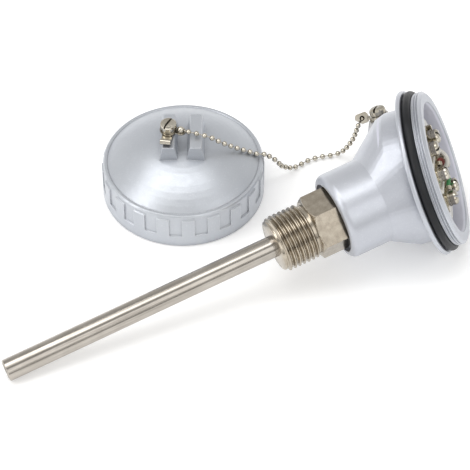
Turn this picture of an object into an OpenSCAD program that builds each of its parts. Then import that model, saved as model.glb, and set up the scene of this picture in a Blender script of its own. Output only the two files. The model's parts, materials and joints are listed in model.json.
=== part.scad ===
// Resistance thermometer probe with a small cast connection head.
// The head is open: its screw cap lies dome up beside the stem, tethered by a bead chain.
// Everything lies on the floor plane z = 0. The stem points along +X, tip to head.

/* [Stem] */
// Outer diameter of the protection tube
tube_d = 8; // [6:0.5:9]
// Wall of the protection tube
tube_wall = 1; // [0.8:0.1:1.5]
// Bare length of the tube, closed tip to thread face
tube_len = 104; // [80:0.5:160]
// Edge rounding of the closed tip
tip_round = 0.4; // [0.2:0.1:0.8]
// Thickness of the plug welded into the tip
plug_t = 3; // [2:0.5:4]
// Length of the sensing element inside the tip
sensor_len = 22; // [10:1:30]

/* [Process fitting] */
// Major diameter of the pipe thread
thread_d = 20.955; // [18:0.005:24]
// Pitch of the pipe thread
thread_pitch = 1.814; // [1.5:0.002:2]
// Height of the thread form
thread_depth = 1.16; // [0.8:0.02:1.2]
// Length of the thread
thread_len = 14.6; // [12:0.2:18]
// Across-flats size of the hexagon
hex_af = 21; // [20:0.5:24]
// Length of the hexagon
hex_len = 11.6; // [10:0.2:14]
// Turn of the hexagon about the stem
hex_turn = 14; // [0:1:60]
// Length of the spigot that screws into the head
spigot_len = 9; // [7:0.5:11]
// Diameter of that spigot
spigot_d = 18; // [16:0.5:19]

/* [Head] */
// Outer diameter of the neck
neck_d = 32; // [30:0.5:34]
// Length of the neck, bottom face to the start of the bowl
neck_len = 17; // [15:0.5:20]
// Rounding of the neck's bottom edge
neck_round = 2.6; // [1:0.2:4]
// Diameter of the recess that the hexagon sits in
recess_d = 26.4; // [26:0.2:28]
// Depth of that recess
recess_h = 2.2; // [1:0.2:3]
// Slope of the opening plane from square to the stem
slope = 27.5; // [22:0.5:32]
// Distance from the bowl's start to the middle of the flange
bowl_len = 22.3; // [20:0.1:26]
// Sideways offset of the flange towards its high side
flange_off = 2.5; // [0:0.5:3]
// Outer diameter of the bowl under the flange
bowl_d = 49.5; // [48:0.5:53]
// Wall of the bowl round its bore, behind the flange
bowl_wall = 0.75; // [0.7:0.05:2.6]
// Outer diameter of the flange
flange_d = 61.5; // [60:0.5:66]
// Thickness of the flange
flange_t = 1.8; // [1.4:0.1:3]
// Major diameter of the cap thread on the head
cap_thread_d = 57.2; // [56:0.1:58]
// Pitch of the cap's thread
cap_pitch = 0.9; // [0.8:0.05:1.5]
// Depth of the cap's thread
cap_thread_depth = 0.5; // [0.4:0.1:0.8]
// Height of the rim above the flange
rim_h = 7; // [6.5:0.1:9]
// Wall of the rim, thread crest to the opening
rim_wall = 4; // [2.4:0.1:4.4]

/* [Seal] */
// Cord thickness of the sealing ring
seal_cord = 3.3; // [3:0.1:3.6]

/* [Cable entry] */
// Distance of the cable entry from the bowl's start, along the stem
entry_at = 22.5; // [20:0.5:24]
// Outer diameter of the entry boss
entry_d = 21; // [19:0.5:22]
// Reach of the boss from the stem's axis
entry_reach = 38; // [35:0.5:40]
// Diameter of the entry's bore
entry_bore_d = 14.5; // [13:0.5:15]
// Across-flats size of the gland nut
nut_af = 15; // [14:0.5:16]
// Length of the gland nut's hexagon
nut_len = 4; // [3:0.5:5]
// Length of the gland nut's round nose
nose_len = 4; // [3:0.5:6]
// Diameter of that nose
nose_d = 14.5; // [13:0.5:15]
// Cable hole through the nut
cable_d = 7; // [5:0.5:8]

/* [Terminals] */
// Diameter of the ceramic terminal block
block_d = 42; // [40:0.5:44]
// Thickness of the block
block_t = 7; // [6:0.5:8]
// Spacing of the three terminals
term_pitch = 10.6; // [10:0.1:11.5]
// Spacing of the two screws of one terminal
screw_gap = 9; // [8:0.5:11]
// Turn of the terminal row about the opening's axis
row_turn = 8.5; // [0:0.5:15]
// Thread diameter of a terminal screw
term_screw_d = 3; // [2.5:0.5:3.5]
// Head diameter of a terminal screw
term_head_d = 5.4; // [5:0.1:6]
// Depth of the screw heads below the rim
head_below = -1.2; // [-2:0.1:2]

/* [Cap] */
// Outer diameter of the cap
cap_d = 61; // [60.5:0.5:66]
// Height of the cap's side
cap_h = 15; // [13:0.5:17]
// Rise of the dome above the side
dome_rise = 9.5; // [8:0.5:11]
// Width of the flat ring around the dome
ring_w = 2.3; // [1.5:0.1:3]
// Wall of the cap
cap_wall = 2.4; // [2:0.1:3]
// Plain lip below the grip pads
lip_h = 5; // [4:0.2:6]
// Number of grip pads round the side
pad_n = 20; // [16:1:24]
// Relief of the grip pads
pad_relief = 0.5; // [0.3:0.1:0.8]
// Gap from the top of a grip pad to the top edge
pad_gap = 1.8; // [1:0.1:3]
// Height of the two bars at their ends, above the dome
bar_h = 5.9; // [5:0.1:7]
// Width of a bar at its top
bar_w = 4.6; // [4:0.1:5.5]
// Side draft of a bar
bar_draft = 10; // [4:1:14]
// Spacing of the two bars
bar_gap = 10; // [9:0.5:11]
// Length of a bar
bar_len = 18; // [16:0.5:20]

/* [Chain] */
// Diameter of a bead
bead_d = 2; // [1.8:0.1:2.4]
// Diameter of the wire links
link_d = 0.34; // [0.3:0.02:0.4]
// Distance from bead to bead
bead_pitch = 3.1; // [3:0.05:3.4]

/* [Chain screws] */
// Thread diameter of a chain screw
chain_screw_d = 3; // [2.5:0.5:3.5]
// Head diameter of a chain screw
chain_head_d = 6.2; // [5.5:0.1:7]
// Thickness of the sheet tags
tag_t = 0.6; // [0.4:0.1:0.8]

/* [Lie] */
// Cap centre, measured along the stem from the tip
cap_along = 94; // [90:1:100]
// Cap centre, measured sideways from the stem
cap_side = 58.5; // [55:1:64]
// Turn of the cap, bars against the stem
cap_turn = 65; // [60:1:70]

/* [Hidden] */
$fn = 64;
eps = 0.01;

// ---- stem stations, measured along the stem from the tip ----
x_thread = tube_len;
x_hex = x_thread + thread_len;
x_neck = x_hex + hex_len - recess_h;
x_crease = x_neck + neck_len;
x_flange = x_crease + bowl_len;
x_entry = x_crease + entry_at;
entry_bore_len = 10;
mouth_d = cap_thread_d - 2 * rim_wall;
mouth_bore = mouth_d / 2 - 0.6;
// the bore behind the flange: as wide as the mouth, as far as the bowl's wall goes
bowl_bore = min(mouth_bore, bowl_d / 2 - bowl_wall);
bowl_bore_len = 9;
// rounded back of the bowl: depth behind the flange, height and step in radius
bowl_back = [[9, 7, 0], [12.5, 4, 1.3], [15, 2, 4]];
lug_x = x_entry - 1.2;
lug_u = entry_reach - 4.5;
lug_v = 16.1;
lug_r = 4.4;

// ---- opening frame: +Z out of the mouth, +X to the high side ----
mouth_n = [cos(slope), -sin(slope), 0];
mouth_w = [sin(slope), cos(slope), 0];
mouth_c = [x_flange, flange_off, 0];

// ---- terminal block stack, heights above the flange's front face ----
head_t = 2;
lock_t = 0.7;
clamp_t = 0.7;
lug_t = 0.6;
plate_t = 1.2;
block_top = rim_h - head_below - head_t - lock_t - clamp_t - lug_t - plate_t;
block_z = block_top - block_t;
block_hole_r = 16.5;
rib_h = 1.5;
lead_d = 1.5;

// ---- how the probe lies: on its tip, its flange and its gland nose ----
tip_ring = [[tip_round, 0, 0], [1, 0, 0], tube_d / 2];
flange_ring = [mouth_c - flange_t * 0.7 * mouth_n, mouth_n, flange_d / 2];
nose_ring = [[x_entry, entry_reach + nut_len + nose_len - 0.6, 0], [0, 1, 0], nose_d / 2];
function unit(v) = v / norm(v);
// the point of a ring that reaches furthest along d
function reach(ring, d) = ring[0] + ring[2] * unit(d - (d * ring[1]) * ring[1]);
function lie_step(up) =
    let (a = reach(tip_ring, -up), b = reach(flange_ring, -up), c = reach(nose_ring, -up))
    let (n = unit(cross(b - a, c - a)))
    n * up > 0 ? n : -n;
function lie(up, k) = k == 0 ? up : lie(lie_step(up), k - 1);
// the world's up direction, written in the stem frame
up = lie([0.15, -0.5, 0.85], 24);
along = unit([1, 0, 0] - up[0] * up);
side = cross(up, along);
lift = -(reach(tip_ring, -up) * up);

// ---- place of everything on the floor: the box is centred on the origin ----
function far(ring, d) = reach(ring, d) * d;
rim_ring = [mouth_c + (rim_h - 0.5) * mouth_n, mouth_n, cap_thread_d / 2];
front_ring = [mouth_c - 0.5 * mouth_n, mouth_n, flange_d / 2 - 0.2];
x_lo = far([[0.1, 0, 0], [1, 0, 0], tube_d / 2 - tip_round], -along);
x_hi = max(far(rim_ring, along), far(front_ring, along));
y_lo = min(-far(rim_ring, -side), -far(front_ring, -side));
y_hi = cap_side + cap_d / 2;
shift = [-(x_hi - x_lo) / 2, -(y_hi + y_lo) / 2, 0];

module on_floor() { translate(shift) children(); }

// stem frame to floor frame
module stem_frame() {
    on_floor() translate([0, 0, lift])
    multmatrix([[along[0], along[1], along[2], 0],
                [side[0], side[1], side[2], 0],
                [up[0], up[1], up[2], 0],
                [0, 0, 0, 1]])
    children();
}

// opening frame to stem frame
module mouth_frame() {
    multmatrix([[mouth_w[0], 0, mouth_n[0], mouth_c[0]],
                [mouth_w[1], 0, mouth_n[1], mouth_c[1]],
                [0, 1, 0, 0],
                [0, 0, 0, 1]])
    children();
}

// a revolved or straight part built on +Z, laid along the stem at station x
module at_station(x) { translate([x, 0, 0]) rotate([0, 90, 0]) children(); }

// a disc with rounded edges, from z = 0 up
module soft_disc(r, t, e) {
    rotate_extrude($fn = 96)
    polygon([[0, 0], [r - e, 0], [r - e * 0.3, e * 0.3], [r, e], [r, t - e],
             [r - e * 0.3, t - e * 0.3], [r - e, t], [0, t]]);
}

// half-profile points of a ring-grooved thread, from z0 up to z0 + len
function thread_pts(r, depth, pitch, z0, len) =
    let (n = floor(len / pitch), start = z0 + (len - n * pitch) / 2)
    [for (i = [0 : n - 1], k = [0 : 3])
        [k == 1 || k == 2 ? r : r - depth,
         start + pitch * (i + (k == 0 ? 0.06 : k == 1 ? 0.4 : k == 2 ? 0.6 : 0.94))]];

module protection_tube() {
    color([0.66, 0.63, 0.56]) stem_frame() at_station(0)
    rotate_extrude($fn = 48)
    polygon([[tube_d / 2 - tube_wall, 0], [tube_d / 2 - tip_round, 0], [tube_d / 2, tip_round],
             [tube_d / 2, x_hex], [tube_d / 2 - tube_wall, x_hex]]);
}

module tip_plug() {
    color([0.85, 0.84, 0.8]) stem_frame() at_station(0.3)
    cylinder(r = tube_d / 2 - tube_wall, h = plug_t, $fn = 48);
}

module hexagon(af, h, ch) {
    intersection() {
        cylinder(r = af / sqrt(3), h = h, $fn = 6);
        rotate_extrude($fn = 64)
        polygon([[0, 0], [af / 2 - ch, 0], [af / 2 + ch * 2, ch * 1.6],
                 [af / 2 + ch * 2, h - ch * 0.4], [af / 2, h], [0, h]]);
    }
}

module process_fitting() {
    r = thread_d / 2;
    color([0.68, 0.64, 0.55]) stem_frame()
    difference() {
        union() {
            at_station(x_thread) rotate_extrude($fn = 64)
            polygon(concat([[0, 0], [r - thread_depth * 1.3, 0], [r - thread_depth, 0.4]],
                thread_pts(r, thread_depth, thread_pitch, 0.5, thread_len - 1.5),
                [[r - thread_depth, thread_len + eps], [0, thread_len + eps]]));
            at_station(x_hex) rotate([0, 0, hex_turn]) hexagon(hex_af, hex_len, 1);
            at_station(x_hex + hex_len - eps) cylinder(r = spigot_d / 2, h = spigot_len + eps);
        }
        at_station(x_thread - 1) cylinder(r = tube_d / 2 + 0.02, h = thread_len + 1);
        at_station(x_hex - eps) cylinder(r = tube_d / 2 - tube_wall, h = 40);
    }
}

module bowl_outer() {
    hull() {
        at_station(x_crease - 1.5) cylinder(r = neck_d / 2, h = 1.5, $fn = 72);
        translate([x_crease + bowl_len / 5, neck_d * 0.2, 0]) rotate([0, 0, -slope / 2]) at_station(0)
        cylinder(r = neck_d / 2 + 2.3, h = 1, $fn = 72);
        for (b = bowl_back)
        mouth_frame() translate([0, 0, -b[0]]) cylinder(r = bowl_d / 2 - b[2], h = b[1], $fn = 72);
    }
}

module head_housing() {
    n_r = neck_d / 2;
    color([0.76, 0.78, 0.82]) stem_frame() {
    block_posts();
    difference() {
        union() {
            at_station(x_neck) rotate_extrude($fn = 96)
            polygon(concat([[0, 0]],
                [for (i = [0 : 6]) [n_r - neck_round + neck_round * sin(i * 15),
                                    neck_round - neck_round * cos(i * 15)]],
                [[n_r, neck_len - 1], [0, neck_len - 1]]));
            bowl_outer();
            mouth_frame() translate([0, 0, -flange_t]) soft_disc(flange_d / 2, flange_t, 0.7);
            mouth_frame() rotate_extrude($fn = 96)
            polygon(concat([[0, -1], [cap_thread_d / 2 - 2, -1], [cap_thread_d / 2 - 2, seal_cord + 0.1],
                [cap_thread_d / 2 - 0.3, seal_cord + 0.1], [cap_thread_d / 2 - 0.3, seal_cord + 0.4]],
                thread_pts(cap_thread_d / 2, cap_thread_depth, cap_pitch,
                           seal_cord + 0.4, rim_h - seal_cord - 0.9),
                [[cap_thread_d / 2 - 0.6, rim_h - 0.5], [cap_thread_d / 2 - 1.1, rim_h], [0, rim_h]]));
            at_entry(bowl_d / 2 - 14) cylinder(r = entry_d / 2, h = entry_reach - bowl_d / 2 + 14);
            chain_lug();
        }
        mouth_frame() translate([0, 0, -bowl_bore_len]) cylinder(r = bowl_bore, h = bowl_bore_len, $fn = 96);
        mouth_frame() translate([0, 0, -1]) cylinder(r = mouth_bore, h = rim_h, $fn = 96);
        mouth_frame() translate([0, 0, rim_h - 1.2]) cylinder(r1 = mouth_bore, r2 = mouth_d / 2, h = 1.3);
        hull() {
            at_station(x_crease + 1) cylinder(r = neck_d / 2 - 4, h = 1, $fn = 48);
            mouth_frame() translate([0, 0, -bowl_bore_len - 0.2])
            cylinder(r = bowl_bore - 2.9, h = 1, $fn = 48);
        }
        at_station(x_neck - 1) cylinder(r = recess_d / 2, h = recess_h + 1);
        at_station(x_neck) cylinder(r = spigot_d / 2 + 0.02, h = recess_h + spigot_len);
        at_station(x_neck) cylinder(r = spigot_d / 2 - 1.5, h = neck_len + 4);
        at_entry(14) cylinder(r = entry_bore_d / 2 - 2.5, h = entry_reach);
        at_entry(entry_reach - entry_bore_len) cylinder(r = entry_bore_d / 2, h = entry_bore_len + 1);
        at_lug() translate([0, 0, -8]) cylinder(r = chain_screw_d / 2 + 0.02, h = 9, $fn = 32);
    }
    }
}

// the two posts that carry the terminal block, part of the same casting
module block_posts() {
    intersection() {
        bowl_outer();
        mouth_frame() rotate([0, 0, row_turn]) for (s = [-1, 1])
        translate([s * block_hole_r, 0, block_z - 13]) difference() {
            cylinder(r = 3.2, h = 13);
            translate([0, 0, 5]) cylinder(r = 1.52, h = 9, $fn = 32);
        }
    }
}

// a part on the entry boss's axis, at a distance u from the stem's axis
module at_entry(u) { translate([x_entry, u, 0]) rotate([-90, 0, 0]) children(); }

// the chain screw's seat on its lug: +Z along the screw, +X towards the chain
module at_lug() { translate([lug_x, lug_u, lug_v]) rotate([0, 0, 112]) children(); }

module chain_lug() {
    hull() {
        translate([lug_x, lug_u, 4]) cylinder(r = lug_r, h = lug_v - 4, $fn = 32);
        translate([lug_x - 7, lug_u - 12, 4]) cylinder(r = lug_r, h = lug_v - 7, $fn = 32);
    }
}

module cap_seal_ring() {
    r_in = cap_thread_d / 2 - 1.98;
    color([0.1, 0.1, 0.11]) stem_frame() mouth_frame()
    translate([0, 0, seal_cord / 2 + 0.02]) rotate_extrude($fn = 96)
    translate([r_in + seal_cord / 2, 0]) circle(r = seal_cord / 2, $fn = 24);
}

module cap_place() {
    on_floor() translate([cap_along - x_lo, cap_side, 0]) rotate([0, 0, cap_turn]) children();
}

// inside of the cap: lead-in, thread grooves, plain band, then the dome's underside
function cap_inside(ball) =
    let (top = ball - cap_wall, mid = cap_h + dome_rise - ball,
         r_top = cap_thread_d / 2 - 1.6, a_top = asin(r_top / top))
    concat(
        [for (i = [12 : -1 : 1]) let (a = a_top * i / 12) [top * sin(a), mid + top * cos(a)]],
        [[0, mid + top]]);
function cap_thread_pts() =
    let (r1 = cap_thread_d / 2 + 0.2, r0 = r1 - cap_thread_depth)
    concat([[r1 + 0.4, 0]],
        [for (i = [0 : 5], q = [[r1, 0], [r0, 0.4], [r0, 0.55], [r1, 0.95]])
            [q[0], 0.8 + cap_pitch * (i + q[1])]],
        [[r1, 1.4 + cap_pitch * 6], [r1 - 1.8, 3 + cap_pitch * 6]]);

module screw_cap() {
    r = cap_d / 2;
    r_dome = r - ring_w;
    sphere_r = (r_dome * r_dome + dome_rise * dome_rise) / (2 * dome_rise);
    a_max = asin(r_dome / sphere_r);
    dome = [for (i = [0 : 12]) let (a = a_max * (1 - i / 12))
        [sphere_r * sin(a), cap_h + dome_rise - sphere_r * (1 - cos(a))]];
    inside = cap_inside(sphere_r);
    color([0.77, 0.79, 0.83]) cap_place()
    difference() {
        union() {
            rotate_extrude($fn = 120)
            polygon(concat(
                cap_thread_pts(), inside,
                [for (i = [12 : -1 : 0]) dome[i]],
                [[r_dome + 0.1, cap_h - 0.3], [r_dome + 0.4, cap_h], [r - pad_relief - 0.5, cap_h],
                 [r - pad_relief, cap_h - 0.6], [r - pad_relief, lip_h + 0.2],
                 [r, lip_h], [r, 0.3], [r - 0.3, 0]]));
            for (i = [0 : pad_n - 1])
            rotate([0, 0, i * 360 / pad_n])
            rotate_extrude(angle = 180 / pad_n, $fn = 120)
            polygon([[r - 1.2, lip_h - 0.5], [r, lip_h - 0.5], [r, cap_h - pad_gap - 0.3],
                     [r - pad_relief, cap_h - pad_gap], [r - 1.2, cap_h - pad_gap]]);
            for (s = [-1, 1]) translate([0, s * bar_gap / 2, 0]) cap_bar();
        }
        translate([cap_screw_at[0], cap_screw_at[1], bar_top - 5.3])
        cylinder(r = chain_screw_d / 2 + 0.02, h = 9, $fn = 32);
    }
}

module cap_bar() {
    top = cap_h + dome_rise + bar_h - 0.9;
    foot = bar_w / 2 + tan(bar_draft) * 9;
    rotate([90, 0, 90]) translate([0, 0, -bar_len / 2]) linear_extrude(bar_len)
    polygon([[-foot, top - 9], [foot, top - 9], [bar_w / 2, top - 0.3], [bar_w / 2 - 0.3, top],
             [0.3 - bar_w / 2, top], [-bar_w / 2, top - 0.3]]);
}

module terminal_at(i) {
    mouth_frame() rotate([0, 0, row_turn])
    translate([screw_gap * (i < 3 ? 0.5 : -0.5), term_pitch * (1 - i % 3), block_top]) children();
}

module terminal_block() {
    color([0.93, 0.92, 0.89]) stem_frame() mouth_frame() rotate([0, 0, row_turn])
    difference() {
        union() {
            translate([0, 0, block_z]) rotate_extrude($fn = 96)
            polygon([[0, 0], [block_d / 2 - 0.5, 0], [block_d / 2, 0.5], [block_d / 2, block_t - 0.6],
                     [block_d / 2 - 0.6, block_t], [0, block_t]]);
            for (s = [-0.5, 0.5])
            translate([-8, s * term_pitch - 0.8, block_top - 1]) cube([16, 1.6, 1 + rib_h]);
        }
        translate([0, 0, block_z - 1]) cylinder(r = 3.4, h = block_t + 2);
        for (s = [-1, 1]) translate([s * block_hole_r, 0, block_z - 1]) {
            cylinder(r = 1.9, h = block_t + 2, $fn = 32);
            translate([0, 0, block_t - 1.5]) cylinder(r = 3.3, h = 3, $fn = 32);
        }
        for (x = [-0.5, 0.5], y = [-1, 0, 1])
        translate([x * screw_gap, y * term_pitch, block_top - 6])
        cylinder(r = term_screw_d / 2 + 0.3, h = 7, $fn = 32);
    }
}

module terminal_plates() {
    r = term_screw_d / 2;
    color([0.72, 0.7, 0.62]) stem_frame() mouth_frame() rotate([0, 0, row_turn])
    for (y = [-1, 0, 1]) translate([0, y * term_pitch, block_top]) difference() {
        union() {
            translate([-screw_gap / 2 - 3.6, -3.4, 0]) cube([screw_gap + 7.2, 6.8, plate_t]);
            translate([screw_gap / 2 + 3, -3.4, 0]) cube([0.9, 6.8, plate_t + 1.6]);
        }
        for (x = [-0.5, 0.5]) translate([x * screw_gap, 0, -1]) cylinder(r = r, h = plate_t + 2, $fn = 32);
        translate([0, 0, -1]) cylinder(r = 2.65, h = plate_t + 2, $fn = 32);
    }
}

module washer(r_out, r_in, t) {
    difference() {
        cylinder(r = r_out, h = t, $fn = 40);
        translate([0, 0, -1]) cylinder(r = r_in, h = t + 2, $fn = 32);
    }
}

module clamp_washers() {
    color([0.74, 0.72, 0.64]) stem_frame()
    for (i = [0 : 5]) terminal_at(i) translate([0, 0, plate_t + (i < 3 ? 0 : lug_t)])
    washer(term_head_d / 2 + 0.2, term_screw_d / 2 + 0.15, clamp_t + (i < 3 ? lug_t : 0));
}

module spring_washers() {
    color([0.6, 0.58, 0.52]) stem_frame()
    for (i = [0 : 5]) terminal_at(i) translate([0, 0, plate_t + lug_t + clamp_t]) difference() {
        washer(term_head_d / 2 - 0.1, term_screw_d / 2 + 0.15, lock_t - 0.02);
        rotate([0, 0, 40 + 70 * i]) translate([0, -0.2, -1]) cube([5, 0.4, 3]);
    }
}

module wire_lugs() {
    color([0.8, 0.79, 0.75]) stem_frame()
    for (i = [3 : 5]) terminal_at(i) translate([0, 0, plate_t]) rotate([0, 0, lug_turn[i - 3]]) {
        difference() {
            union() {
                cylinder(r = 2.5, h = lug_t, $fn = 40);
                translate([0, -0.9, 0]) cube([4.2, 1.8, lug_t]);
            }
            translate([0, 0, -1]) cylinder(r = term_screw_d / 2 + 0.15, h = 3, $fn = 32);
        }
        translate([3.4, 0, 1.1]) rotate([0, 90, 0]) difference() {
            cylinder(r = 1.1, h = 1.6, $fn = 32);
            translate([0, 0, 0.6]) cylinder(r = lead_d / 2 + 0.02, h = 3, $fn = 32);
        }
    }
}
// the lugs turn towards the block's middle, in the order of the terminals
lug_turn = [-30, 30, 30];

module pan_screw(r, head_r, head_h, len) {
    difference() {
        union() {
            rotate_extrude($fn = 48)
            polygon([[0, 0], [head_r, 0], [head_r, head_h * 0.45], [head_r * 0.93, head_h * 0.75],
                     [head_r * 0.72, head_h * 0.95], [head_r * 0.5, head_h], [0, head_h]]);
            translate([0, 0, -len]) cylinder(r = r, h = len + eps, $fn = 32);
        }
        translate([-0.4, -head_r - 1, head_h * 0.5]) cube([0.8, head_r * 2 + 2, head_h]);
    }
}

// slot directions as the screws were left
slot_turn = [35, 70, 20, 80, 10, 55];
module terminal_screw(i) {
    color([0.78, 0.75, 0.66]) stem_frame() terminal_at(i)
    translate([0, 0, plate_t + lug_t + clamp_t + lock_t]) rotate([0, 0, slot_turn[i]])
    pan_screw(term_screw_d / 2 - 0.05, term_head_d / 2, head_t, 8);
}
module terminal_screw_1() { terminal_screw(0); }
module terminal_screw_2() { terminal_screw(1); }
module terminal_screw_3() { terminal_screw(2); }
module terminal_screw_4() { terminal_screw(3); }
module terminal_screw_5() { terminal_screw(4); }
module terminal_screw_6() { terminal_screw(5); }

module block_screws() {
    color([0.78, 0.75, 0.66]) stem_frame() mouth_frame() rotate([0, 0, row_turn])
    for (s = [-1, 1]) translate([s * block_hole_r, 0, block_top - 1.5]) rotate([0, 0, 50 + 30 * s])
    pan_screw(1.5, 2.8, 1.8, block_t + 4);
}

// ---- inside the stem ----
core_x = plug_t + 1.2;
core_len = sensor_len;
bore_r = tube_d / 2 - tube_wall;
rod_x = core_x + core_len + 4;
rod_len = x_hex + hex_len + spigot_len - 3 - rod_x;
lead_ring = 1.3;

module sensor_element() {
    color([0.95, 0.95, 0.92]) stem_frame() at_station(core_x)
    cylinder(r = bore_r - 1.4, h = core_len, $fn = 32);
}

module lead_insulator() {
    color([0.9, 0.89, 0.85]) stem_frame() at_station(rod_x) difference() {
        cylinder(r = bore_r - 0.35, h = rod_len, $fn = 48);
        for (a = [0, 120, 240]) rotate([0, 0, a]) translate([lead_ring, 0, -1])
        cylinder(r = 0.5, h = rod_len + 2, $fn = 24);
    }
}

module sensor_leads() {
    color([0.8, 0.8, 0.78]) stem_frame() at_station(core_x + core_len)
    for (a = [0, 120, 240]) rotate([0, 0, a]) translate([lead_ring, 0, 0])
    cylinder(r = 0.25, h = rod_x + rod_len - core_x - core_len + 1, $fn = 16);
}

// ---- swept wires ----
function bez(p, t) = pow(1 - t, 3) * p[0] + 3 * pow(1 - t, 2) * t * p[1]
    + 3 * (1 - t) * t * t * p[2] + t * t * t * p[3];
function bez_dir(p, t) = unit(3 * pow(1 - t, 2) * (p[1] - p[0]) + 6 * (1 - t) * t * (p[2] - p[1])
    + 3 * t * t * (p[3] - p[2]));

// carries a side vector along the directions without twist
function carried(dirs, a, i = 0) = i >= len(dirs) ? []
    : let (b = unit(a - (a * dirs[i]) * dirs[i])) concat([b], carried(dirs, b, i + 1));

// a round wire along a list of points with their directions
module wire(pts, dirs, r) {
    n = len(pts);
    m = 8;
    sides = carried(dirs, [0.1, 0.2, 0.97]);
    polyhedron(
        points = [for (i = [0 : n - 1])
            let (a = sides[i], b = cross(dirs[i], a))
            for (k = [0 : m - 1]) pts[i] + r * (cos(360 * k / m) * a + sin(360 * k / m) * b)],
        faces = concat([[for (k = [0 : m - 1]) k]],
            [for (i = [0 : n - 2], k = [0 : m - 1])
                [i * m + k, (i + 1) * m + k, (i + 1) * m + (k + 1) % m, i * m + (k + 1) % m]],
            [[for (k = [m - 1 : -1 : 0]) (n - 1) * m + k]]),
        convexity = 6);
}

// stem-frame point of a mouth-frame point
function from_mouth(p) = mouth_c + p[0] * mouth_w + [0, 0, p[1]] + p[2] * mouth_n;
function turned(p, a) = [p[0] * cos(a) - p[1] * sin(a), p[0] * sin(a) + p[1] * cos(a), p[2]];

// the three leads leave the insulator in its bores and pass the block as one bundle
lead_bore = [240, 120, 0];
bundle_r = 0.95;
bundle_at = [-0.08, -0.75];
barrel_z = plate_t + 1.1;
barrel_end = 5.5;
// a point over the block: x and y from its middle, z from its face
function over_block(p) = from_mouth(turned([p[0], p[1], block_top + p[2]], row_turn));
// the two guide points of each lead between the middle hole and its lug
lead_guide = [[[-1, -0.6, 9], [2.9, 6.4, 4.6]],
              [[0.8, 0.6, 5.9], [2, 3.9, 2.5]],
              [[-0.1, -1.75, 4.6], [2.7, -6.5, 3.2]]];

// lead k runs from its bore in the insulator, through the block's middle hole, to its lug
module lead_wire(k) {
    a = lead_bore[k];
    start = [rod_x + rod_len + 1, lead_ring * sin(a), -lead_ring * cos(a)];
    hole_xy = bundle_at + bundle_r * [sin(a), -cos(a)];
    hole = over_block([hole_xy[0], hole_xy[1], 1 - block_t]);
    mid = over_block([hole_xy[0], hole_xy[1], 0]);
    la = lug_turn[k];
    screw_xy = [-screw_gap / 2, term_pitch * (1 - k)];
    mouth_xy = screw_xy + barrel_end * [cos(la), sin(la)];
    end_xy = screw_xy + 4.3 * [cos(la), sin(la)];
    gate = over_block([mouth_xy[0], mouth_xy[1], barrel_z]);
    end = over_block([end_xy[0], end_xy[1], barrel_z]);
    n_dir = mouth_n;
    in_dir = unit(end - gate);
    p1 = [start, start + [9, 0, 0], hole - 5 * n_dir, hole];
    p3 = [mid, over_block(lead_guide[k][0]), over_block(lead_guide[k][1]), gate];
    q1 = [for (i = [0 : 8]) bez(p1, i / 8)];
    q3 = [for (i = [0 : 13]) bez(p3, i / 14)];
    d1 = [for (i = [0 : 8]) bez_dir(p1, i / 8)];
    d3 = [for (i = [0 : 13]) bez_dir(p3, i / 14)];
    wire(concat(q1, q3, [gate, end]), concat(d1, d3, [in_dir, in_dir]), lead_d / 2);
}
module lead_wire_green() { color([0.25, 0.6, 0.3]) stem_frame() lead_wire(2); }
module lead_wire_red() { color([0.7, 0.2, 0.18]) stem_frame() lead_wire(1); }
module lead_wire_white() { color([0.9, 0.9, 0.88]) stem_frame() lead_wire(0); }

// ---- cable gland ----
module gland_nut() {
    r = entry_bore_d / 2 - 0.05;
    color([0.72, 0.7, 0.64]) stem_frame() at_entry(entry_reach + 0.05) difference() {
        union() {
            hexagon(nut_af, nut_len, 0.6);
            translate([0, 0, nut_len - eps]) rotate_extrude($fn = 64)
            polygon([[0, 0], [nose_d / 2, 0], [nose_d / 2, nose_len - 0.6],
                     [nose_d / 2 - 0.6, nose_len], [0, nose_len]]);
            translate([0, 0, -4.5]) cylinder(r = r, h = 4.5 + eps);
        }
        translate([0, 0, -6]) cylinder(r = cable_d / 2, h = 30);
    }
}
module gland_washer() {
    color([0.75, 0.73, 0.68]) stem_frame() at_entry(entry_reach - 5.5)
    washer(entry_bore_d / 2 - 0.1, cable_d / 2 + 0.2, 0.9);
}
module gland_seal() {
    color([0.15, 0.15, 0.15]) stem_frame() at_entry(entry_reach - entry_bore_len + 0.02)
    washer(entry_bore_d / 2 - 0.05, cable_d / 2 - 0.3, entry_bore_len - 5.54);
}

// ---- chain screws and tags ----
module chain_washers(r) {
    color([0.78, 0.76, 0.68]) {
        translate([0, 0, 0.02]) washer(r, chain_screw_d / 2 + 0.15, 0.5);
        translate([0, 0, 1.22]) washer(r - 0.2, chain_screw_d / 2 + 0.15, 0.5);
        translate([0, 0, 1.74]) difference() {
            washer(2.8, chain_screw_d / 2 + 0.15, 0.7);
            translate([0, -0.2, -1]) cube([5, 0.4, 3]);
        }
    }
}
tag_z = 0.56;
chain_head_z = 2.46;

// the cup that holds an end bead: its slot looks along +X
module bead_cup() {
    difference() {
        sphere(r = bead_d / 2 + 0.35, $fn = 32);
        sphere(r = bead_d / 2 + 0.06, $fn = 32);
        translate([-5, -5, -5 - bead_seat]) cube([10, 10, 5]);
        translate([0, -0.55, -2]) cube([4, 1.1, 2.6]);
    }
}
bead_seat = 0.68 * bead_d / 2;

module head_chain_screw() {
    color([0.8, 0.78, 0.7]) stem_frame() at_lug() translate([0, 0, chain_head_z]) rotate([0, 0, 25])
    pan_screw(chain_screw_d / 2, chain_head_d / 2, 2.3, 9);
}
module head_chain_washers() { stem_frame() at_lug() chain_washers(3.8); }

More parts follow.
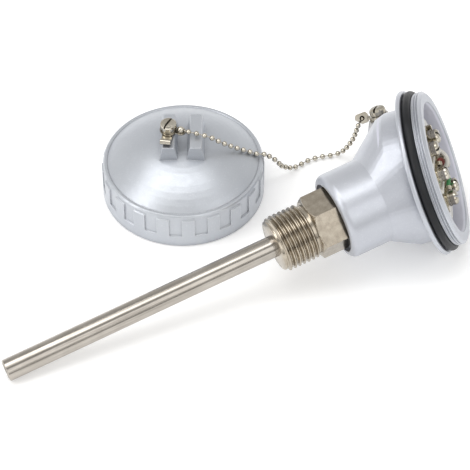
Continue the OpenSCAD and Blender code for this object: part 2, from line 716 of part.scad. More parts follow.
// the folded sheet pocket that holds the chain's last bead, seen from the screw's seat
pocket_at = [-5.1, 5.6, 1.2];
pocket_size = [5.2, 4.1, bead_d + 2 * tag_t + 0.1];
pocket_slot = 221;
pocket_yaw = -12;
pocket_lean = 70;
module at_pocket() {
    translate([lug_x, lug_u, lug_v] + pocket_at) rotate([0, 0, pocket_yaw])
    rotate([pocket_lean, 0, 0]) children();
}
// the side towards the chain is cut close to the bead
module pocket_form(size, reach) {
    intersection() {
        cube(size, center = true);
        cylinder(r = size[0] / 2 + 0.1, h = 9, center = true, $fn = 48);
        rotate([0, 0, pocket_slot]) translate([-9, -6, -6]) cube([9 + reach, 12, 12]);
    }
}
module head_chain_tag() {
    inner = [2 * tag_t, 2 * tag_t, 2 * tag_t];
    color([0.8, 0.79, 0.74]) stem_frame() {
        translate([lug_x, lug_u, lug_v + tag_z]) difference() {
            union() {
                cylinder(r = 3.5, h = tag_t);
                rotate([0, 0, 132]) translate([0, -1.2, 0]) cube([4.2, 2.4, tag_t]);
            }
            translate([0, 0, -1]) cylinder(r = chain_screw_d / 2 + 0.1, h = 3, $fn = 32);
        }
        hull() {
            translate([lug_x, lug_u, lug_v + tag_z]) rotate([0, 0, 132])
            translate([3.95, -1.2, 0]) cube([0.25, 2.4, tag_t]);
            at_pocket() translate([pocket_size[0] / 2 - tag_t, -0.9, 0.3]) cube([tag_t - 0.02, 1, 1.3]);
        }
        at_pocket() difference() {
            pocket_form(pocket_size, 1.8);
            pocket_form(pocket_size - inner, 1.2);
            cylinder(r = 0.95, h = 9, $fn = 32);
            rotate([0, 0, pocket_slot]) translate([0, -0.4, -0.6]) cube([6, 0.8, 5]);
        }
    }
}

cap_screw_at = [0, bar_gap / 2];
bar_top = cap_h + dome_rise + bar_h - 0.9;
cup_turn = -104;
cup_out = 4.6;
module at_cap_screw() { cap_place() translate([cap_screw_at[0], cap_screw_at[1], bar_top]) children(); }
module cap_chain_tag() {
    color([0.8, 0.79, 0.74]) at_cap_screw() translate([0, 0, tag_z]) {
        difference() {
            union() {
                cylinder(r = 3.3, h = tag_t);
                rotate([0, 0, cup_turn]) translate([0, -1.6, 0]) cube([cup_out, 3.2, tag_t]);
                rotate([0, 0, cup_turn]) translate([cup_out, 0, 0]) cylinder(r = 1.9, h = tag_t);
                rotate([0, 0, cup_turn]) translate([cup_out, 0, tag_t + bead_seat]) bead_cup();
                rotate([0, 0, 172]) translate([0, -1.9, 0]) cube([7.4, 3.8, tag_t]);
            }
            translate([0, 0, -1]) cylinder(r = chain_screw_d / 2 + 0.1, h = 3, $fn = 32);
            rotate([0, 0, cup_turn]) translate([cup_out, 0, -1])
            cylinder(r = bead_d / 2 - 0.25, h = tag_t + 1.2, $fn = 32);
        }
        // the rolled end of the tail
        rotate([0, 0, 172]) translate([7.4, -1.9, 1.05]) rotate([-90, 0, 0]) difference() {
            cylinder(r = 1.05, h = 3.8, $fn = 32);
            translate([0, 0, -1]) cylinder(r = 1.05 - tag_t, h = 6, $fn = 32);
        }
    }
}
module cap_chain_washers() { at_cap_screw() rotate([0, 0, 200]) chain_washers(3.1); }
module cap_chain_screw() {
    color([0.8, 0.78, 0.7]) at_cap_screw() translate([0, 0, chain_head_z]) rotate([0, 0, 60])
    pan_screw(chain_screw_d / 2, chain_head_d / 2, 2.3, 7.5);
}

// ---- the chain's route, on the floor frame ----
function rot2(p, a) = [p[0] * cos(a) - p[1] * sin(a), p[0] * sin(a) + p[1] * cos(a)];
cap_c = [cap_along - x_lo, cap_side];
function on_cap(p) = let (q = rot2([p[0], p[1]], cap_turn)) [cap_c[0] + q[0], cap_c[1] + q[1], p[2]];
function floor_of(p) = [p * along, p * side, p * up + lift];
cup_xy = cap_screw_at + cup_out * [cos(cup_turn), sin(cup_turn)];
seat_z = tag_z + tag_t + bead_seat;
chain_start = on_cap([cup_xy[0], cup_xy[1], bar_top + seat_z]);
function in_pocket(a) = cos(a) * [cos(pocket_yaw), sin(pocket_yaw), 0]
    + sin(a) * [-cos(pocket_lean) * sin(pocket_yaw), cos(pocket_lean) * cos(pocket_yaw), sin(pocket_lean)];
chain_end = floor_of([lug_x, lug_u, lug_v] + pocket_at);
next_bead = floor_of([lug_x, lug_u, lug_v] + pocket_at + bead_pitch * in_pocket(pocket_slot));
bead_r = bead_d / 2;
function dome_z(r) = let (q = cap_d / 2 - ring_w, s = (q * q + dome_rise * dome_rise) / (2 * dome_rise))
    cap_h + dome_rise - s + sqrt(s * s - r * r);
// over the second bar and down the dome to the cap's edge: x, y in the cap's frame, height
edge = cap_d / 2;
cap_route = [
    [-2.4, -3, bar_top + bead_r + 0.75],
    [-3.2, -5.9, bar_top + bead_r + 0.65],
    [-4, -8.8, bar_top + bead_r + 0.35],
    [-3.8, -11.5, bar_top + bead_r - 1.1],
    [-3.2, -14.2, dome_z(14.2) + bead_r + 3.6],
    [-2.4, -17, dome_z(17) + bead_r + 2.3],
    [-1.4, -20, dome_z(20) + bead_r + 1.2],
    [-0.4, -22.8, dome_z(22.8) + bead_r + 0.5],
    [0.4, -25.6, dome_z(25.6) + bead_r + 0.25],
    [1.2, 2 - edge, cap_h + bead_r + 0.2],
    [1.6, -edge - 0.6, cap_h + bead_r - 0.15]];
// from the edge down to the floor, along it and up to the head: share of the way, side step, height
lie_z = bead_r + 0.05;
hang_route = [[0.027, 0.3, 14.5], [0.089, 0.1, 12.1], [0.135, -0.1, 9.7], [0.182, 1.0, 6.5],
    [0.243, 2.1, 4.1], [0.312, 3.1, 2.0], [0.396, 4.4, lie_z], [0.478, 5.6, lie_z],
    [0.564, 6.1, lie_z], [0.649, 6.2, lie_z], [0.719, 5.9, lie_z], [0.781, 5.7, lie_z],
    [0.836, 5.0, 2.1], [0.871, 3.3, 5.0], [0.907, 1.8, 9.2], [0.929, 0.6, 13.0],
    [0.941, -0.4, 17.1]];
edge_pt = on_cap([1.6, -edge - 0.6, 0]);
way = [chain_end[0] - edge_pt[0], chain_end[1] - edge_pt[1]];
way_side = [-way[1], way[0]] / norm(way);
function hang(q) = [edge_pt[0] + q[0] * way[0] + q[1] * way_side[0],
                    edge_pt[1] + q[0] * way[1] + q[1] * way_side[1], q[2]];
route = concat([chain_start], [for (p = cap_route) on_cap(p)],
    [for (q = hang_route) hang(q)], [next_bead, chain_end]);
// smooth curve through the route's points
function pick(i) = route[max(0, min(len(route) - 1, i))];
function spline(i, t) = let (a = pick(i - 1), b = pick(i), c = pick(i + 1), d = pick(i + 2))
    0.5 * (2 * b + t * (c - a) + t * t * (2 * a - 5 * b + 4 * c - d) + t * t * t * (3 * b - a - 3 * c + d));
fine = 12;
curve = [for (i = [0 : len(route) - 2], k = [0 : fine - 1]) spline(i, k / fine), route[len(route) - 1]];
steps = [for (i = [0 : len(curve) - 2]) norm(curve[i + 1] - curve[i])];
function sums(v, i = 0, acc = 0) = i >= len(v) ? [acc] : concat([acc], sums(v, i + 1, acc + v[i]));
run = sums(steps);
total = run[len(run) - 1];
gaps_n = round(total / bead_pitch);
function curve_at(s, i = 0) = (i >= len(curve) - 2 || run[i + 1] >= s)
    ? curve[i] + (curve[i + 1] - curve[i]) * (s - run[i]) / steps[i] : curve_at(s, i + 1);
beads = [for (k = [0 : gaps_n]) curve_at(total * k / gaps_n)];
function bead_dir(k) = unit(beads[min(gaps_n, k + 1)] - beads[max(0, k - 1)]);

// turns +Z to the unit vector d
module aim(d) { rotate([0, acos(d[2]), atan2(d[1], d[0])]) children(); }

module chain_beads() {
    color([0.72, 0.7, 0.63]) on_floor()
    for (k = [0 : gaps_n]) translate(beads[k]) aim(bead_dir(k)) difference() {
        sphere(r = bead_r, $fn = 20);
        sphere(r = bead_r * 0.82, $fn = 16);
        cylinder(r = bead_r * 0.39, h = bead_d + 1, center = true, $fn = 14);
    }
}

module chain_links() {
    ball = bead_r * 0.405;
    color([0.7, 0.68, 0.6]) on_floor()
    for (k = [0 : gaps_n - 1]) {
        a = beads[k] + bead_r * 0.41 * bead_dir(k);
        b = beads[k + 1] - bead_r * 0.41 * bead_dir(k + 1);
        translate(a) aim(unit(b - a)) {
            sphere(r = ball, $fn = 14);
            cylinder(r = link_d / 2, h = norm(b - a), $fn = 14);
            translate([0, 0, norm(b - a)]) sphere(r = ball, $fn = 14);
        }
    }
}

protection_tube();
tip_plug();
sensor_element();
lead_insulator();
sensor_leads();
process_fitting();
head_housing();
cap_seal_ring();
terminal_block();
terminal_plates();
clamp_washers();
spring_washers();
wire_lugs();
terminal_screw_1();
terminal_screw_2();
terminal_screw_3();
terminal_screw_4();
terminal_screw_5();
terminal_screw_6();
block_screws();
lead_wire_green();
lead_wire_red();
lead_wire_white();
gland_nut();
gland_washer();
gland_seal();
head_chain_screw();
head_chain_washers();
head_chain_tag();
chain_beads();
chain_links();
cap_chain_tag();
cap_chain_washers();
cap_chain_screw();
screw_cap();
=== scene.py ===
import json
import math

import bpy
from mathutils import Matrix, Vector

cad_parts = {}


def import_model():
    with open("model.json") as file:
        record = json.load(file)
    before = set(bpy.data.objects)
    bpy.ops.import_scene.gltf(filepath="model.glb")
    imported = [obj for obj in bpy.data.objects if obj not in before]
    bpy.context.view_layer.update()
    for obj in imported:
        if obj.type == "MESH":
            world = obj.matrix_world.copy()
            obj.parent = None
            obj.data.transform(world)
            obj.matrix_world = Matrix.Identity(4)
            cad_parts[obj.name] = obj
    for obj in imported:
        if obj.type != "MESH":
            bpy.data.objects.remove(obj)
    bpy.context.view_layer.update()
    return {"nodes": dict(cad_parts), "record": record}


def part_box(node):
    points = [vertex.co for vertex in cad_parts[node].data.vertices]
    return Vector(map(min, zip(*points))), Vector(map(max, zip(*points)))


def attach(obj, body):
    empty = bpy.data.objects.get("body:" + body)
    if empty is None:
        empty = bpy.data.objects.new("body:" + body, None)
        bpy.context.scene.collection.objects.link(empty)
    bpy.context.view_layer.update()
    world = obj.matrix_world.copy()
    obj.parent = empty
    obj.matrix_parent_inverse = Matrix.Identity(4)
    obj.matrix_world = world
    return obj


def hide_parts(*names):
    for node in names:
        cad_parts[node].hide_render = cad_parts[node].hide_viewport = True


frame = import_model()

RECORD = frame["record"]
MOUNTS = {m["name"]: m for m in RECORD["mounts"]}
MM = 0.001


# ------------------------------------------------------------------ camera
VIEW_TARGET = (0.00755, -0.00342, 0.0)
VIEW_AZIMUTH, VIEW_ELEVATION, VIEW_DISTANCE = -25.12, 47.14, 0.7061    # degrees from the front, metres
FOCAL_PX, FRAME_PX, SENSOR_MM = 1900, 470, 36
CLIP_NEAR, CLIP_FAR = 0.01, 50


def place(name, data, at, facing):
    """Put a camera or a lamp into the scene, looking along facing."""
    o = bpy.data.objects.new(name, data)
    o.location = at
    o.rotation_mode = "QUATERNION"
    o.rotation_quaternion = facing.to_track_quat("-Z", "Y")
    bpy.context.scene.collection.objects.link(o)
    return o


def aim_camera():
    a, e = math.radians(VIEW_AZIMUTH), math.radians(VIEW_ELEVATION)
    back = Vector((math.sin(a) * math.cos(e), -math.cos(a) * math.cos(e), math.sin(e)))
    data = bpy.data.cameras.new("view")
    data.sensor_width = SENSOR_MM
    data.lens = FOCAL_PX / FRAME_PX * SENSOR_MM
    data.clip_start, data.clip_end = CLIP_NEAR, CLIP_FAR
    at = Vector(VIEW_TARGET) + back * VIEW_DISTANCE
    bpy.context.scene.camera = place("view", data, at, -back)


aim_camera()


# ------------------------------------------------------------------ node helpers
WARMTH = (1, 0.995, 0.98)        # of the studio's greys


class Nodes:
    """Short names for making and linking the nodes of one tree."""

    def __init__(self, tree):
        self.tree = tree
        tree.nodes.clear()

    def put(self, socket, v):
        if isinstance(v, bpy.types.NodeSocket):
            self.tree.links.new(v, socket)
        else:
            socket.default_value = v

    def add(self, kind, *first, **named):
        """A node with its first inputs in order, and inputs by name (__ for a space).

        A name that starts with _ is a property of the node itself.
        """
        n = self.tree.nodes.new(kind)
        for key, v in named.items():
            if key.startswith("_"):
                setattr(n, key[1:], v)
            else:
                self.put(n.inputs[key.replace("__", " ")], v)
        for socket, v in zip(n.inputs, first):
            self.put(socket, v)
        return n

    def math(self, operation, *values):
        return self.add("ShaderNodeMath", *values, _operation=operation).outputs[0]

    def vector(self, operation, *values):
        """The node, because some operations give a vector and some a value."""
        return self.add("ShaderNodeVectorMath", *values, _operation=operation)

    def times(self, a, b):
        return self.math("MULTIPLY", a, b)

    def mix(self, fac, a, b):
        n = self.add("ShaderNodeMix", _data_type="RGBA")
        for i, v in ((0, fac), (6, a), (7, b)):      # the factor and the two colour sockets
            self.put(n.inputs[i], v)
        return n.outputs[2]

    def warm_ramp(self, source, stops):
        """Slightly warm greys at their places from 0 to 1."""
        n = self.add("ShaderNodeValToRGB", Fac=source)
        marks = n.color_ramp.elements
        while len(marks) < len(stops):
            marks.new(0.5)
        for mark, (at, v) in zip(marks, stops):
            mark.position = at
            mark.color = (*(v * tint for tint in WARMTH), 1)
        return n.outputs[0]


class Mat(Nodes):
    """A material under construction."""

    def __init__(self, name):
        self.material = bpy.data.materials.new(name)
        self.material.use_nodes = True
        super().__init__(self.material.node_tree)
        self.out = self.add("ShaderNodeOutputMaterial")
        self.co = self.add("ShaderNodeTexCoord").outputs["Object"]

    def remap(self, v, lo, hi, to_lo, to_hi):
        return self.add("ShaderNodeMapRange", v, lo, hi, to_lo, to_hi).outputs[0]

    def laid(self, turn, stretch):
        """Coordinates in a turned frame, drawn out along its axes."""
        n = self.add("ShaderNodeMapping", _vector_type="TEXTURE", Vector=self.co, Rotation=turn,
                     Scale=stretch)
        return n.outputs[0]

    def noise(self, scale, detail=3.0, rough=0.55, vector=None):
        n = self.add("ShaderNodeTexNoise", Vector=vector or self.co, Scale=scale, Detail=detail,
                     Roughness=rough)
        return n.outputs["Fac"]

    def spread(self, noise, lo, hi):
        """A noise's usual values spread from lo to hi."""
        return self.remap(noise, 0.3, 0.7, lo, hi)

    def mottle(self, base, dark, scale, detail):
        """Broad patches of two near colours."""
        patch = self.remap(self.noise(scale, detail), lo=0.35, hi=0.65, to_lo=0, to_hi=1)
        return self.mix(patch, base, dark)

    def bevel(self, radius):
        return self.add("ShaderNodeBevel", _samples=6, Radius=radius).outputs[0]

    def edges(self, radius):
        """About 0 on open faces and up to 0.6 on sharp edges: the mask of a painted highlight along the
        edges.
        """
        face = self.add("ShaderNodeNewGeometry").outputs["True Normal"]
        same = self.vector("DOT_PRODUCT", self.bevel(radius), face).outputs["Value"]
        return self.remap(same, lo=0.985, hi=0.85, to_lo=0, to_hi=0.6)

    def corner_shade_mask(self, reach, most):
        """0 on open faces and up to most in corners: the mask of painted shade there."""
        n = self.add("ShaderNodeAmbientOcclusion", _samples=6, Distance=reach)
        return self.remap(n.outputs["AO"], lo=0.3, hi=0.9, to_lo=most, to_hi=0)

    def bump(self, height, strength, distance, normal=None):
        n = self.add("ShaderNodeBump", Height=height, Strength=strength, Distance=distance)
        if normal is not None:
            self.put(n.inputs["Normal"], normal)
        return n.outputs[0]

    def finish(self, **values):
        """Close the material with its shader and give it back."""
        n = self.add("ShaderNodeBsdfPrincipled", **values)
        self.put(self.out.inputs["Surface"], n.outputs[0])
        return self.material


def rgb(r, g, b):
    """A colour given as it looks on screen (0 to 255), as the shader wants it."""
    def lin(v):
        v /= 255
        return v / 12.92 if v <= 0.04045 else ((v + 0.055) / 1.055) ** 2.4
    return (lin(r), lin(g), lin(b), 1.0)


# ------------------------------------------------------------------ finishes
GLINT = rgb(240, 241, 244)           # painted glints: bright specks that stand for the paint's sparkle
EDGE_HIGHLIGHT = rgb(240, 242, 246)       # painted highlight along the edges
PAINT_SHADE = rgb(104, 108, 118)     # painted shade in the paint's corners
LIP_SHADE = rgb(176, 180, 188)             # painted shade: the mouth's lip painted a darker grey
INSIDE_LIGHT = rgb(206, 207, 219)          # painted light: a lighter, bluer grey inside the mouth
STREAK = rgb(120, 113, 105)
# painted shade in the hollows of the metals
HOLLOW_SHADE = rgb(70, 64, 55)
# painted shade towards the outlines of the chain and screws
RIM_SHADE = rgb(56, 52, 47)

PAINT_GRAIN, PAINT_PEEL, PAINT_PATCHES, PAINT_GLINTS = 1500, 500, 30, 1800      # noise per metre
PAINT_METAL, INSIDE_METAL = 0.62, 0.15      # how metallic the paint is, outside and inside the mouth
INSIDE_ROUGHER = 0.12                       # added to the roughness there
MOUTH_R, MOUTH_DEPTH = 0.0244, 0.0125       # the space inside the mouth's wall, from the seal inward
LIP_WIDTH, LIP_ABOVE_SEAL = 0.0032, 0.0048
GRAIN_DEPTH, EDGE_ROUND = 0.00008, 0.00012  # of the metals


def turn_of(axis):
    """Euler turn of a frame whose X lies along the axis."""
    return tuple(Vector(axis).to_track_quat("X", "Z").to_euler())


STEM = turn_of([-v for v in MOUNTS["stem"]["axis"]])
ENTRY = turn_of(MOUNTS["cable_entry"]["axis"])
LEVEL = (0.0, 0.0, 0.0)


def mouth():
    """The mouth in the housing's own coordinates: the seal's centre and the terminal screws' axis."""
    turn = frame["nodes"]["head_housing"].matrix_world.inverted()
    box_lo, box_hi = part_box("cap_seal_ring")
    at = turn @ ((Vector(box_lo) + Vector(box_hi)) / 2)
    joint = next(j for j in RECORD["behaviour"]["joints"] if j["name"] == "terminal_screw_1_turn")
    return tuple(at), tuple((turn.to_3x3() @ Vector(joint["axis"])).normalized())


def mouth_masks(m, at, axis):
    """1 inside the mouth and 0 elsewhere, and the same for the turned lip round it."""
    from_centre = m.vector("SUBTRACT", m.co, at).outputs[0]
    height = m.vector("DOT_PRODUCT", from_centre, axis).outputs["Value"]
    across = m.vector("CROSS_PRODUCT", from_centre, axis).outputs[0]
    radius = m.vector("LENGTH", across).outputs["Value"]
    inner = m.times(m.math("LESS_THAN", radius, MOUTH_R), m.math("GREATER_THAN", height, -MOUTH_DEPTH))
    lip = m.times(m.math("LESS_THAN", radius, MOUTH_R + LIP_WIDTH),
                 m.math("GREATER_THAN", height, LIP_ABOVE_SEAL))
    return inner, lip


def silver_paint(name, base, dark, opening=None):
    """Sprayed aluminium paint; opening is the mouth's centre and axis, painted lighter inside."""
    m = Mat(name)
    grain = m.noise(PAINT_GRAIN, detail=2)
    peel = m.noise(PAINT_PEEL, detail=2, rough=0.5)
    col = m.mottle(base, dark, PAINT_PATCHES, detail=3)
    # painted glints: bright specks that stand for the sparkle of the paint
    glint = m.remap(m.noise(PAINT_GLINTS, detail=1), lo=0.6, hi=0.75, to_lo=0, to_hi=0.16)
    col = m.mix(glint, col, GLINT)
    rough = m.spread(peel, 0.31, 0.4)
    metallic = PAINT_METAL
    if opening:
        inner, lip = mouth_masks(m, *opening)
        # painted shade: the mouth's lip painted darker
        col = m.mix(lip, col, LIP_SHADE)
        # painted light: the inside of the mouth painted lighter and bluer
        col = m.mix(m.times(inner, m.math("SUBTRACT", 1, lip)), col, INSIDE_LIGHT)
        rough = m.math("ADD", rough, m.times(inner, INSIDE_ROUGHER))
        metallic = m.remap(inner, 0, 1, PAINT_METAL, INSIDE_METAL)
    # painted shade in the corners, from the ambient occlusion mask
    col = m.mix(m.corner_shade_mask(reach=0.003, most=0.55), col, PAINT_SHADE)
    # painted highlight: the edges painted lighter
    col = m.mix(m.edges(radius=0.0004), col, EDGE_HIGHLIGHT)
    normal = m.bump(grain, strength=0.26, distance=0.0001, normal=m.bevel(radius=0.00035))
    normal = m.bump(peel, strength=0.08, distance=0.0003, normal=normal)
    return m.finish(Base__Color=col, Metallic=metallic, Roughness=rough, Normal=normal)


def metal(name, base, dark, rough=(0.16, 0.28), grain=900, turn=LEVEL, stretch=(1, 1, 1), bump=0.1,
          patches=90, streaks=0.0, shade_in_hollows=0.0, rim_shade=0.0):
    """Bare or plated metal; its grain runs along the axes of a turned frame."""
    m = Mat(name)
    lines = m.noise(grain, detail=4, rough=0.6, vector=m.laid(turn, stretch))
    col = m.mottle(base, dark, patches, detail=4)
    if streaks:
        col = m.mix(m.remap(lines, lo=0.5, hi=0.62, to_lo=0, to_hi=streaks), col, STREAK)
    # painted shade in the hollows: thread valleys, slots and corners
    if shade_in_hollows:
        col = m.mix(m.corner_shade_mask(reach=0.0015, most=shade_in_hollows), col, HOLLOW_SHADE)
    # painted shade on faces that turn away from the view, towards the outline
    if rim_shade:
        edge_on = m.add("ShaderNodeLayerWeight", Blend=0.5).outputs["Facing"]
        col = m.mix(m.remap(edge_on, lo=0.3, hi=0.85, to_lo=0, to_hi=rim_shade), col, RIM_SHADE)
    return m.finish(Base__Color=col, Metallic=1.0, Roughness=m.spread(lines, *rough),
                    Normal=m.bump(lines, bump, GRAIN_DEPTH, m.bevel(EDGE_ROUND)))


def dull(name, base, dark, rough=(0.4, 0.55), bump=0.15, shine=0.5):
    """Rubber, porcelain and sleeving."""
    m = Mat(name)
    fine = m.noise(scale=600, detail=4)
    return m.finish(Base__Color=m.mottle(base, dark, scale=120, detail=3),
                    Roughness=m.spread(fine, *rough), Specular__IOR__Level=shine,
                    Normal=m.bump(fine, bump, distance=0.0002))


PAINT = silver_paint("silver_paint", rgb(196, 200, 206), rgb(188, 192, 199))
HEAD_PAINT = silver_paint("silver_paint_head", rgb(198, 201, 208), rgb(190, 193, 201), mouth())
STEEL = metal("stainless", rgb(187, 181, 173), rgb(172, 166, 158), rough=(0.13, 0.24), grain=1200,
              turn=STEM, stretch=(40, 1, 1), bump=0.07, streaks=0.3)
FITTING = metal("turned_steel", rgb(192, 183, 168), rgb(172, 162, 147), rough=(0.12, 0.27),
                grain=1500, turn=STEM, stretch=(1, 30, 30), bump=0.14, patches=400, shade_in_hollows=0.25)
GLAND = metal("gland_steel", rgb(194, 186, 172), rgb(160, 152, 138), rough=(0.14, 0.3), grain=1500,
              turn=ENTRY, stretch=(1, 30, 30), bump=0.16, patches=260)
NICKEL = metal("nickel_screws", rgb(216, 210, 198), rgb(190, 183, 168), rough=(0.1, 0.2),
               rim_shade=0.75, shade_in_hollows=0.6)
CHAIN = metal("nickel_chain", rgb(214, 208, 195), rgb(190, 183, 168), rough=(0.08, 0.15),
              rim_shade=0.9)
BRASS = metal("plated_brass", rgb(212, 205, 188), rgb(194, 185, 162), rough=(0.18, 0.3))
RUBBER = dull("seal_rubber", rgb(26, 27, 30), rgb(34, 35, 38), rough=(0.38, 0.5), shine=0.3)
CERAMIC = dull("porcelain", rgb(232, 231, 226), rgb(222, 220, 214), rough=(0.18, 0.3), bump=0.05)
RED = dull("wire_red", rgb(128, 56, 46), rgb(110, 46, 38))
GREEN = dull("wire_green", rgb(70, 146, 88), rgb(58, 128, 76))
WHITE = dull("wire_white", rgb(208, 206, 199), rgb(194, 192, 185))

FINISH = {
    PAINT: ["screw_cap"],
    HEAD_PAINT: ["head_housing"],
    STEEL: ["protection_tube", "tip_plug"],
    FITTING: ["process_fitting"],
    GLAND: ["gland_nut"],
    RUBBER: ["cap_seal_ring", "gland_seal"],
    CERAMIC: ["terminal_block", "lead_insulator", "sensor_element"],
    BRASS: ["terminal_plates", "wire_lugs"],
    CHAIN: ["chain_beads", "chain_links"],
    NICKEL: ["sensor_leads", "clamp_washers", "spring_washers", "block_screws", "gland_washer",
             "head_chain_screw", "head_chain_washers", "head_chain_tag",
             "cap_chain_tag", "cap_chain_washers", "cap_chain_screw"]
            + ["terminal_screw_%d" % i for i in range(1, 7)],
    RED: ["lead_wire_red"],
    GREEN: ["lead_wire_green"],
    WHITE: ["lead_wire_white"],
}
for material, names in FINISH.items():
    for name in names:
        for s in frame["nodes"][name].material_slots:
            s.material = material


# ------------------------------------------------------------------ the process fitting, thread and all
# In mm, from the thread's front face along the stem towards the head. The sizes are part.scad's, and
# the hexagon's turn and chamfer are as the photo shows them.
THREAD_R, THREAD_DEPTH, THREAD_PITCH, THREAD_LEN = 10.4775, 1.16, 1.814, 14.6
ROOT_R = THREAD_R - THREAD_DEPTH
FACE_CHAMFER = 0.35               # round the front face, from the root inward
FLAT = 0.08                       # flat share of the crest and of the root
RISE_FROM, RISE = 0.3, 1.5        # where the thread starts to rise, and over what length
RUN_OUT, RUN_OUT_END = 0.8, 0.9   # the length it dies away over, and its end ahead of the hexagon
MOUNT_AT = 7.05                   # the thread's mount, at the middle of the crests
HEX_AF, HEX_LEN, HEX_CORNER = 21.0, 11.6, math.radians(25.5)    # the corner, from the cable entry
HEX_FACE_R, CHAMFER_SLOPE = 10.35, 1.73                         # a chamfer of 60 degrees at both ends
CHAMFER_RINGS = [0, 0.15, 0.3, 0.5, 0.7, 0.9, 1.1]
SPIGOT_R, SPIGOT_LEN = 9.0, 9.0
TUBE_BORE_R, LEAD_BORE_R = 4.02, 3.0
RINGS_PER_TURN, STEPS, SHARP_ABOVE = 12, 192, math.radians(26)


def share(x):
    return min(max(x, 0), 1)


def thread_radius(x, turn):
    """Radius of the right-hand pipe thread at a station and an angle."""
    phase = (x / THREAD_PITCH - turn / (2 * math.pi)) % 1
    flank = share((1 - abs(2 * phase - 1) - FLAT) / (1 - 2 * FLAT))
    rounded = flank * flank * (3 - 2 * flank)
    risen = share((x - RISE_FROM) / RISE)
    left = share((THREAD_LEN - RUN_OUT_END - x) / RUN_OUT)
    return THREAD_R - THREAD_DEPTH * (1 - rounded * risen * left)


def hex_radius(x, turn):
    """Radius of the chamfered hexagon, x from its front face."""
    from_flat = (turn - HEX_CORNER) % (math.pi / 3) - math.pi / 6
    from_end = min(x, HEX_LEN - x)
    return min(HEX_AF / 2 / math.cos(from_flat), HEX_FACE_R + from_end * CHAMFER_SLOPE)


def fitting_rings():
    """The closed half-section, from bore to bore: each ring's station, and its radius at an angle."""
    def plain(x, r):
        return x, lambda turn: r

    rings = [plain(0, TUBE_BORE_R), plain(0, ROOT_R - FACE_CHAMFER)]
    count = round(THREAD_LEN / (THREAD_PITCH / RINGS_PER_TURN))
    for i in range(1, count + 1):
        x = THREAD_LEN * i / count
        rings.append((x, lambda turn, x=x: thread_radius(x, turn)))
    for x in CHAMFER_RINGS + [HEX_LEN - e for e in reversed(CHAMFER_RINGS)]:
        rings.append((THREAD_LEN + x, lambda turn, x=x: hex_radius(x, turn)))
    back = THREAD_LEN + HEX_LEN
    rings += [plain(back, SPIGOT_R), plain(back + SPIGOT_LEN, SPIGOT_R),
              plain(back + SPIGOT_LEN, LEAD_BORE_R), plain(THREAD_LEN, LEAD_BORE_R),
              plain(THREAD_LEN, TUBE_BORE_R)]
    return rings


def threaded_fitting():
    """The fitting as one closed mesh, placed by its mounts."""
    mount = MOUNTS["process_thread"]
    ahead = -Vector(mount["axis"]).normalized()
    out = Vector(MOUNTS["cable_entry"]["axis"]).normalized()
    third = ahead.cross(out)
    face = Vector(mount["pos_m"]) - ahead * MOUNT_AT * MM
    rings = fitting_rings()
    points, quads = [], []
    for x, radius in rings:
        for k in range(STEPS):
            turn = HEX_CORNER + 2 * math.pi * k / STEPS
            sideways = (out * math.cos(turn) + third * math.sin(turn)) * radius(turn)
            points.append(face + (ahead * x + sideways) * MM)
    for i in range(len(rings)):
        j = (i + 1) % len(rings)
        for k in range(STEPS):
            n = (k + 1) % STEPS
            quads.append((i * STEPS + k, i * STEPS + n, j * STEPS + n, j * STEPS + k))
    mesh = bpy.data.meshes.new("process_fitting_threaded")
    mesh.from_pydata(points, [], quads)
    mesh.shade_smooth()
    mesh.set_sharp_from_angle(angle=SHARP_ABOVE)
    mesh.materials.append(FITTING)
    piece = bpy.data.objects.new("process_fitting_threaded", mesh)
    bpy.context.scene.collection.objects.link(piece)
    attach(piece, "probe")
    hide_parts("process_fitting")


threaded_fitting()


# ------------------------------------------------------------------ floor, backdrop and light
FLOOR_WHITE, FLOOR_GLOW = 0.9, 0.25         # the glow shows to the eye and in gloss, and lights nothing
FLOOR_R, FLOOR_BELOW = 12, 0.0002
LIGHT_FOCUS = (0, 0, 0.02)
SOFTBOXES = {                               # place, size and power
    "top_box": ((-0.15, 0.05, 1.2), (0.42, 1.5), 3.4),
    "left_box": ((-1.0, 0.1, 0.7), (0.5, 0.9), 3),
    "back_box": ((-0.34, 0.47, 1.2), (0.42, 0.42), 1.4),
    "front_box": ((0.35, -1.0, 0.9), (1.3, 0.8), 2.6),
}
FRONT_WALL = [(0, 0.85), (0.04, 0.85), (0.07, 0.08), (0.13, 0.08), (0.17, 0.85), (0.84, 0.8),
              (0.9, 0.4), (0.95, 0.4), (0.985, 1.3)]        # the sine of the height, and brightness
BACK_WALL = [(0, 0.9), (0.25, 0.75), (0.6, 0.62), (0.82, 0.58), (0.95, 0.8), (0.985, 1.2)]
FRONT_X, FRONT_Y = -0.42, -0.9              # the way to the front wall's middle
WALL_BLEND = 1.2                            # how fast one wall passes into the other


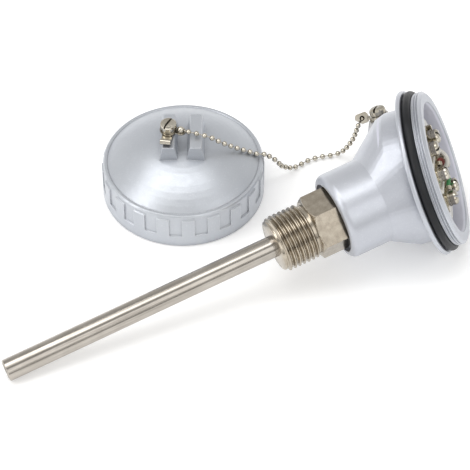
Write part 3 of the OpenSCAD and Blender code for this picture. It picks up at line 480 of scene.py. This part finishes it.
def floor():
    m = Mat("floor")
    path = m.add("ShaderNodeLightPath").outputs
    seen = m.math("MAXIMUM", path["Is Camera Ray"], path["Is Glossy Ray"])
    seen = m.math("MAXIMUM", seen, path["Is Transmission Ray"])
    white = m.add("ShaderNodeBsdfDiffuse", Color=(FLOOR_WHITE, FLOOR_WHITE, FLOOR_WHITE, 1))
    glow = m.add("ShaderNodeEmission", Color=(1, 1, 1, 1), Strength=m.times(seen, FLOOR_GLOW))
    lit = m.add("ShaderNodeAddShader", white.outputs[0], glow.outputs[0])
    m.put(m.out.inputs["Surface"], lit.outputs[0])
    bpy.ops.mesh.primitive_circle_add(vertices=96, radius=FLOOR_R, fill_type="NGON",
                                      location=(0, 0, -FLOOR_BELOW))
    disc = bpy.context.object
    disc.name = "floor"
    disc.data.materials.append(m.material)


def world():
    """A pale studio that lights the object, while the camera itself sees white paper.

    It is white overhead and in front, with a dark gap over the table's edge and a grey one high up,
    and the wall behind is grey.
    """
    w = bpy.data.worlds.new("studio")
    bpy.context.scene.world = w
    w.use_nodes = True
    t = Nodes(w.node_tree)
    way = t.add("ShaderNodeTexCoord").outputs["Generated"]
    x, y, up = t.add("ShaderNodeSeparateXYZ", way).outputs
    ahead = t.math("ADD", t.times(x, FRONT_X), t.times(y, FRONT_Y))
    side = t.warm_ramp(t.math("ADD", t.times(ahead, WALL_BLEND), 0.5), [(0, 0), (1, 1)])
    walls = t.mix(side, t.warm_ramp(up, BACK_WALL), t.warm_ramp(up, FRONT_WALL))
    studio = t.add("ShaderNodeBackground", Color=walls, Strength=1.0)
    paper = t.add("ShaderNodeBackground", Color=(1, 1, 1, 1))
    seen = t.add("ShaderNodeLightPath").outputs["Is Camera Ray"]
    shown = t.add("ShaderNodeMixShader", seen, studio.outputs[0], paper.outputs[0])
    t.add("ShaderNodeOutputWorld", Surface=shown.outputs[0])


def softboxes():
    for name, (at, size, power) in SOFTBOXES.items():
        data = bpy.data.lights.new(name, "AREA")
        data.shape = "RECTANGLE"
        data.size, data.size_y = size
        data.energy = power
        place(name, data, at, Vector(LIGHT_FOCUS) - Vector(at))


floor()
world()
softboxes()
bpy.context.scene.view_settings.view_transform = "Standard"
